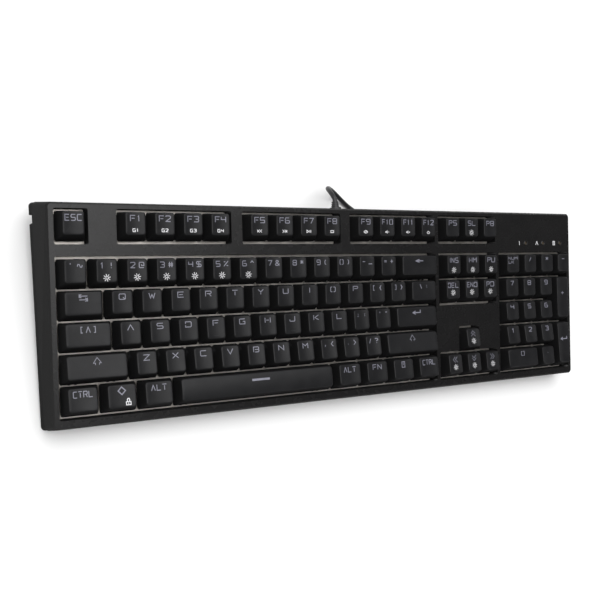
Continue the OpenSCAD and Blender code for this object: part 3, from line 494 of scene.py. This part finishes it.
# Keys of each node: [row, left edge in units, prints], then a width, or a front row, of its own.
# A print is its main sign or word, its second sign and its white sign, with | between.
KEYS = {
    "esc_key": [(0, 0, "ESC")],
    "f1_f4_keys": [(0, 2, "F1||G1 F2||G2 F3||G3 F4||G4")],
    "f5_f8_keys": [(0, 6.5, "F5||q F6||n F7||p F8||x")],
    "f9_f12_keys": [(0, 11, "F9||z F10||v F11||k F12||i")],
    "print_scroll_pause_keys": [(0, 15.25, "PS SL||sun PB")],
    "digit_row_keys": [(1, 0,
                        "'|~ 1|!|sun 2|@|sun 3|#|sun 4|$|sun 5|%|sun 6|^|sun 7|& 8|* 9|( 0|) -|_ =|+")],
    "backspace_key": [(1, 13, "b", 2)],
    "tab_key": [(2, 0, "t", 1.5)],
    "upper_row_keys": [(2, 1.5, "Q W E R T Y U I O P [|{ ]|}"), (2, 13.5, "\\|:", 1.5)],
    "caps_lock_key": [(3, 0, "[A]", 1.75)],
    "middle_row_keys": [(3, 1.75, "A S D F G H J K L ;|: '|\"")],
    "enter_key": [(3, 12.75, "e", 2.25)],
    "left_shift_key": [(4, 0, "s", 2.25)],
    "lower_row_keys": [(4, 2.25, "Z X C V B N M ,|< .|> /|?")],
    "right_shift_key": [(4, 12.25, "s", 2.75)],
    "left_ctrl_key": [(5, 0, "CTRL", 1.25)],
    "left_super_key": [(5, 1.25, "w||y", 1.25)],
    "left_alt_key": [(5, 2.5, "ALT", 1.25)],
    "space_key": [(5, 3.75, "dash", 6.25)],
    "right_alt_key": [(5, 10, "ALT", 1.25)],
    "fn_key": [(5, 11.25, "FN", 1.25)],
    "menu_key": [(5, 12.5, "m", 1.25)],
    "right_ctrl_key": [(5, 13.75, "CTRL", 1.25)],
    "arrow_up_key": [(4, 16.25, "u||sun")],
    "arrow_left_key": [(5, 15.25, "l||sun")],
    "arrow_down_key": [(5, 16.25, "d||sun")],
    "arrow_right_key": [(5, 17.25, "r||sun")],
    "navigation_keys": [(1, 15.25, "INS||sun HM||sun PU||sun"), (2, 15.25, "DEL||sun END||sun PD||sun")],
    "pad_operator_keys": [(1, 18.5, "NUM|LK / * -")],
    "pad_digit_keys": [(2, 18.5, "7 8 9"), (3, 18.5, "4 5 6"), (4, 18.5, "1 2 3"), (5, 20.5, ".")],
    "pad_zero_key": [(5, 18.5, "0", 2)],
    "pad_plus_key": [(2, 21.5, "+", 1, 3)],
    "pad_enter_key": [(4, 21.5, "e", 1, 5)],
}


class Key:
    """One key's sizes, about its middle in the plate frame."""

    def __init__(self, left, width, rear, front, text):
        self.width, self.rear_row, self.text = width, rear, text
        self.x = (left + width / 2 - FIELD_UNITS / 2) * UNIT
        self.y = (ROW_Y[rear] + ROW_Y[front]) / 2 * UNIT
        self.w = (width * UNIT - CAP_GAP) / 2
        self.d = ((ROW_Y[rear] - ROW_Y[front] + 1) * UNIT - CAP_GAP) / 2
        self.half = self.w - TAPER
        self.f, self.r = self.d - FRONT_INSET, self.d - REAR_INSET
        self.zf, self.zr = TOP_FRONT[front], TOP_REAR[rear]
        self.space, self.tall = width > 4, rear != front
        self.reach = SPACE_REACH if self.space else STAB_REACH
        self.stabs = width >= 2 or self.tall

    def top(self, x, y):
        """Height of the cap's top: a sloping plane with a dish along it, or the space bar's crown."""
        plane = self.zf + (self.zr - self.zf) * (y + self.f) / (self.f + self.r)
        if self.space:
            middle = (self.r - self.f) / 2
            return plane + 0.2 - CROWN * ((y - middle) / self.d) ** 2
        return plane - DISH * max(0, 1 - (x / (self.half - DISH_RIM)) ** 2)

    def centres(self):
        """Where its stems stand."""
        if not self.stabs:
            return [(0, 0)]
        return [(0, s * self.reach) if self.tall else (s * self.reach, 0) for s in (-1, 0, 1)]


def keys_of(rows):
    made = []
    for row, left, text, *own in rows:
        width = own[0] if own else 1
        front = own[1] if len(own) > 1 else row
        for i, word in enumerate(text.split()):
            made.append(Key(left + i * width, width, row, front, word))
    return made


SIDE_R, TOP_R, FILLET = 1.1, 1.9, 0.75
POST_R, POST_Z = 2.75, 8.1
CROSS_W, CROSS_T, CROSS_Z = 4.0, 1.25, 11.6
CORNER, ALONG = 6, 8


def blend_rings(a, b, t):
    return [tuple(u + (v - u) * t for u, v in zip(p, q)) for p, q in zip(a, b)]


def close_top(shape, ring, flip=False):
    """Closes a rounded rectangle's ring with quads from its front edge to its rear edge."""
    n, step = len(ring), CORNER + ALONG
    front = [ring[(3 * step + CORNER + k) % n] for k in range(ALONG + 1)]
    rear = [ring[2 * step - k] for k in range(ALONG + 1)]
    faces = [(front[k], front[k + 1], rear[k + 1], rear[k]) for k in range(ALONG)]
    faces += [tuple(ring[start:start + step + CORNER + 1]) for start in (0, 2 * step)]
    shape.faces += [f[::-1] for f in faces] if flip else faces


def cross_ring(grow, z):
    a, b = CROSS_W / 2 + grow, CROSS_T / 2 + grow
    quarter = [(a, 0), (a, b), (b, b), (b, a)]
    points = []
    for turn_by in range(4):
        points += quarter
        quarter = [(-y, x) for x, y in quarter]
    return [(x, y, z) for x, y in points]


def add_cap(shape, key):
    """The cap's shell: skirt, gently bowed sides, rounded edge and dished top, hollow inside."""
    at = (key.x, key.y, 0)
    skirt = outline(key.w, key.d, key.d, SIDE_R, SKIRT_Z)
    brow = outline(key.half, key.f, key.r, TOP_R, key.top)
    lip = outline(key.half - FILLET, key.f - FILLET, key.r - FILLET, TOP_R - FILLET, key.top)
    rings = [outline(key.w - 0.22, key.d - 0.22, key.d - 0.22, SIDE_R - 0.22, SKIRT_Z)]
    for t in (0.025, 0.25, 0.5, 0.75):
        bow = 0.3 * t * (1 - t)
        ring = blend_rings(skirt, brow, t)
        rings.append([(x + bow * (p[0] - x), y + bow * (p[1] - y), z)
                      for (x, y, z), p in zip(ring, skirt)])
    below = [tuple(b + (a - b) * FILLET / math.dist(p, q) for a, b in zip(p, q)) for p,
             q in zip(skirt, brow)]
    for t in (0, 0.2, 0.4, 0.6, 0.8, 1):
        rings.append(blend_rings(blend_rings(below, brow, t), blend_rings(brow, lip, t), t))
    least = min(key.half, (key.f + key.r) / 2)
    for k in (1, 2, 3, 4):
        i = FILLET + (least - FILLET - 0.8) * k / 4
        rings.append(outline(key.half - i, key.f - i, key.r - i, max(TOP_R - i, 0.3), key.top))
    made = shape.loft(rings, at, (False, False))
    close_top(shape, made[-1])
    hollow = []
    for k in (1, 0.5, 0):
        def inner_z(x, y, k=k):
            return SKIRT_Z + (key.top(x, y) - ROOF - SKIRT_Z) * k
        hollow.append(outline(key.w - WALL - (key.w - key.half) * k, key.d - WALL - (key.d - key.f) * k,
                              key.d - WALL - (key.d - key.r) * k, 0.5, inner_z))
    inside = shape.loft(hollow, at, (False, False))
    close_top(shape, inside[0], True)
    shape.bridge(inside[-1], made[0])
    for x, y in key.centres():
        post = (key.x + x, key.y + y, 0)
        socket = cross_ring(0.05, POST_Z)
        tube = [(POST_R * px / math.hypot(px, py), POST_R * py / math.hypot(px, py), POST_Z) for px, py,
                z in socket]
        roof = key.top(x, y) - ROOF / 2
        outer = shape.loft([tube, [(px, py, roof) for px, py, z in tube]], post, (False, True))
        bore = shape.loft([cross_ring(0.05, CROSS_Z + 0.1), socket], post, (False, False))
        shape.faces.append(tuple(bore[0][::-1]))
        shape.bridge(bore[-1], outer[0])


INSERT_SLOT = 4.8


def add_stems(shape, key):
    """The switch's sliding part under the cap, and the stabilizers' inserts of a wide key."""
    for x, y in key.centres():
        at = (key.x + x, key.y + y, 0)
        if (x, y) == (0, 0):
            soft_box(shape, 7, 5.4, 2.6, 8, 0.2, at)
            shape.loft([circle(1.6, 0.8, 24), circle(1.6, 2.7, 24)], at)
        else:
            def part(x0, x1, y0, y1, z0, z1):
                cx, cy, w, d = (x0 + x1) / 2, (y0 + y1) / 2, x1 - x0, y1 - y0
                if key.tall:
                    cx, cy, w, d = -cy, cx, d, w
                soft_box(shape, w, d, z0, z1, 0.12, (at[0] + cx, at[1] + cy, 0))
            part(-2.2, 2.2, -4.1, 4.1, INSERT_SLOT, 8)
            part(-2.2, 2.2, 0.4, 4.1, 1.2, INSERT_SLOT)
            part(-2.2, -1.3, -4.1, 0.4, 1.2, INSERT_SLOT)
            part(1.3, 2.2, -4.1, 0.4, 1.2, INSERT_SLOT)
        shape.loft([cross_ring(0, 7.8), cross_ring(0, CROSS_Z)], at)


# ------------------------------------------------------------------ prints
LIFT, SINK = 0.05, 0.15
STROKE, THIN = 0.5, 0.36


def stroke(shape, points, width, top, at, lift=LIFT):
    """A flat band along points that follows the height top(x, y), standing lift proud of it."""
    closed = len(points) > 3 and points[0] == points[-1]
    path = []
    for a, b in zip(points, points[1:]):
        n = max(1, math.ceil(math.dist(a, b) / 1.2))
        path += [(a[0] + (b[0] - a[0]) * k / n, a[1] + (b[1] - a[1]) * k / n) for k in range(n)]
    if not closed:
        path.append(points[-1])
    n, rings = len(path), []
    for i, (x, y) in enumerate(path):
        back = path[i - 1] if i or closed else None
        ahead = path[(i + 1) % n] if i < n - 1 or closed else None
        before = Vector((x - back[0], y - back[1])).normalized() if back else None
        after = Vector((ahead[0] - x, ahead[1] - y)).normalized() if ahead else before
        before = before or after
        along = (before + after).normalized()
        reach = width / 2 * min(1 / max(along.dot(before), 0.3), 1.7)
        ring = []
        for side, up in ((1, -SINK), (1, lift), (-1, lift), (-1, -SINK)):
            px, py = x - along.y * reach * side, y + along.x * reach * side
            ring.append((px, py, top(px, py) + up))
        rings.append(ring)
    made = shape.loft(rings, at, (not closed, not closed))
    if closed:
        shape.bridge(made[-1], made[0])


def sign(shape, name, x, y, w, h, top, at, width=STROKE):
    for line in SIGNS[name].split():
        grid = [(int(line[i]), int(line[i + 1])) for i in range(0, len(line), 2)]
        stroke(shape, [(x + (gx / 8 - 0.5) * w, y + (gy / 8 - 0.5) * h) for gx, gy in grid], width, top, at)


def word(shape, text, x, y, w, h, top, at, gap=1.2, width=STROKE):
    """Signs side by side, their middle on x. A letter drawn as one upright takes little room."""
    widths = [w * (0.25 if c == "I" else 0.7 if c == "1" else 1) for c in text]
    left = x - (sum(widths) + gap * (len(text) - 1)) / 2
    for c, own in zip(text, widths):
        sign(shape, c, left + own / 2, y, own if c != "I" else w, h, top, at, width)
        left += own + gap


def sun(shape, x, y, top, at):
    for i in range(8):
        a = math.pi / 4 * i + 0.2
        stroke(shape, [(x + r * math.cos(a), y + r * math.sin(a)) for r in (0.55, 2.3)], THIN, top, at)


# From the rear edge of the top, as shares of its depth: the grey signs, and the white ones of each row
PRINT_AT = 0.27
WHITE_AT = (0.79, 0.80, 0.68, 0.68, 0.68, 0.68)


def add_prints(caps, grey, white, key):
    """The key's signs, and the bar on the caps under the two index fingers."""
    at = (key.x, key.y, 0)
    depth = key.f + key.r

    def level(share):
        return key.r - share * depth

    main, second, bright = (key.text.split("|") + ["", ""])[:3]
    y = level(0.40 if key.tall else PRINT_AT)
    if main == "dash":
        stroke(grey, [(-6.6, level(0.33)), (6.6, level(0.33))], 1.4, key.top, at)
    elif len(second) > 1:
        left = -key.half + 1.1
        for text, share in ((main, 0.2), (second, 0.42)):
            w = 2.6 * len(text) + 0.9 * (len(text) - 1)
            word(grey, text, left + w / 2, level(share), 2.6, 2.0, key.top, at, 0.9, THIN)
    elif second:
        sign(grey, main, -2.8, y, 2.9, 3.3, key.top, at)
        sign(grey, second, 2.8, y, 2.9, 3.3, key.top, at)
    elif len(main) > 1:
        w = {2: 3.1, 3: 2.5, 4: 2.15}[len(main)]
        word(grey, main, 0, y, w, 3.5, key.top, at, 1.2 if len(main) < 4 else 0.95)
    elif main:
        w, h = {"b": (7, 2.8), "e": (7, 3.2), "t": (4.9, 4.4), "s": (4.9, 4.4), "w": (4.6, 4.6),
                "m": (3.4, 4)}.get(main, (3.3, 3.3) if main.isdigit() else (3.9, 3.3))
        if main in "udlr":
            w = h = 4.2
        sign(grey, main, 0, y, w, h, key.top, at,
             0.7 if main in "bew" else THIN if main in "sudlr" else STROKE)
    low_at = level(WHITE_AT[key.rear_row])
    if bright == "sun":
        sun(white, 0, low_at, key.top, at)
    elif bright == "y":
        sign(white, "y", 3.8, level(0.76), 2.8, 3.8, key.top, at, STROKE)
    elif bright:
        word(white, bright, 0, low_at, 1.6 if len(bright) > 1 else 3.2, 1.8, key.top, at, 0.8, 0.42)
    if main in ("F", "J"):
        stroke(caps, [(-1.7, level(0.86)), (1.7, level(0.86))], 0.5, key.top, at, 0.35)


for node, rows in KEYS.items():
    caps, stems, grey, white = Shape(), Shape(), Shape(), Shape()
    for key in keys_of(rows):
        add_cap(caps, key)
        add_stems(stems, key)
        add_prints(caps, grey, white, key)
    caps.piece(node + "_caps", CAP, node, "keycap_plastic", replaces=(node,))
    stems.piece(node + "_stems", STEM, node, "switch_body")
    grey.piece(node + "_prints", PRINT, node, "keycap_plastic")
    if white.faces:
        white.piece(node + "_white_prints", PRINT_WHITE, node, "keycap_plastic")

# The status lights' dark rims and labels, on the bezel
BEZEL_H = 10
LIGHTS_FROM, LIGHT_PITCH = (20.05 - FIELD_UNITS / 2) * UNIT, 19.8
LIGHTS_Y = 5.45 * UNIT
LABEL_LEFT, LABEL_W, LABEL_H = 7, 2.7, 3
RIM = ((1.25, 0.28), (1.38, 0.36), (1.75, 0.34), (2.0, 0.2), (2.1, -0.2))   # radius, height


def bezel_top(x, y):
    return BEZEL_H


labels, rims = Shape(), Shape()
for i, name in enumerate("1Ag"):
    x = LIGHTS_FROM + LIGHT_PITCH * i
    sign(labels, name, x - LABEL_LEFT, LIGHTS_Y, 1.6 if name == "1" else LABEL_W, LABEL_H, bezel_top,
         (0, 0, 0))
    rims.loft([circle(r, BEZEL_H + z, 40) for r, z in RIM][::-1], (x, LIGHTS_Y, 0), (False, False))
labels.piece("status_labels", PRINT_WHITE, "case", "case_top")
rims.piece("status_rims", RIM_GLOSS, "case", "case_top")


# ------------------------------------------------------------------ CAD nodes that stay
def soften(name, width, segments=2, angle=30):
    """Rounds a CAD node's hard edges when it is drawn."""
    node = nodes[name]
    weld = node.modifiers.new("weld", "WELD")
    weld.merge_threshold = 0.002 * MM
    flat = node.modifiers.new("flat", "DECIMATE")
    flat.decimate_type = "DISSOLVE"
    flat.angle_limit = math.radians(0.6)
    bevel = node.modifiers.new("edge", "BEVEL")
    bevel.width = width * MM
    bevel.segments = segments
    bevel.limit_method = "ANGLE"
    bevel.angle_limit = math.radians(angle)
    bevel.harden_normals = True


CAD_FINISHES = {
    "top_case": BEZEL, "bottom_case": SHELL, "switch_plate": PLATE_METAL, "circuit_board": BOARD,
    "switch_bases": SWITCH, "switch_covers": COVER, "switch_springs": SPRING, "backlight_leds": LENS,
    "stabilizer_housings": SWITCH, "stabilizer_wires": WIRE, "space_wire": WIRE, "status_leds": STATUS,
    "controller_chip": CHIP, "cable_socket": SOCKET, "screws": SCREW, "rubber_pads": RUBBER,
    "inner_lead": JACKET, "foot_left": FOOT, "foot_right": FOOT, "foot_tip_left": RUBBER,
    "foot_tip_right": RUBBER,
}
for name, material in CAD_FINISHES.items():
    slots = nodes[name].material_slots
    for s in slots:
        s.material = material
    if not len(slots):
        nodes[name].data.materials.append(material)
for name, width in (("top_case", 0.35), ("bottom_case", 0.3), ("rubber_pads", 0.3), ("foot_left", 0.35),
                    ("foot_right", 0.35)):
    soften(name, width)

# ------------------------------------------------------------------ stage
bpy.ops.mesh.primitive_plane_add(size=24, location=(0, 0, 0))
floor = bpy.context.object
floor.name = "floor"
mat, tree, shader, where = new_material("floor_paper")
colour = mix(tree, spread(tree, noise(tree, where, 3), 0, 1), (0.90, 0.90, 0.90), (0.93, 0.93, 0.93))
tree.links.new(colour, shader.inputs["Base Color"])
shader.inputs["Roughness"].default_value = 0.9
shader.inputs["Specular IOR Level"].default_value = 0.1
floor.data.materials.append(mat)


def area_light(name, at, aim, size, power):
    data = bpy.data.lights.new(name, "AREA")
    data.shape = "RECTANGLE"
    data.size, data.size_y = size
    data.energy = power
    made = bpy.data.objects.new(name, data)
    made.location = at
    made.rotation_euler = (Vector(aim) - Vector(at)).to_track_quat("-Z", "Y").to_euler()
    scene.collection.objects.link(made)


area_light("softbox", (-0.5, 0.5, 3.8), (0, 0, 0), (5.2, 4.4), 250)
world = bpy.data.worlds.new("studio")
scene.world = world
world.use_nodes = True
world.node_tree.nodes["Background"].inputs["Color"].default_value = (1, 1, 1, 1)
sky = world.node_tree
around = sky.nodes.new("ShaderNodeTexCoord")
height = sky.nodes.new("ShaderNodeSeparateXYZ")
sky.links.new(around.outputs["Generated"], height.inputs[0])
# Pale walls round the studio, and a dark ceiling behind the softbox
sky.links.new(spread(sky, height.outputs["Z"], 0.8, 0.04, 0.2, 0.5),
              sky.nodes["Background"].inputs["Strength"])
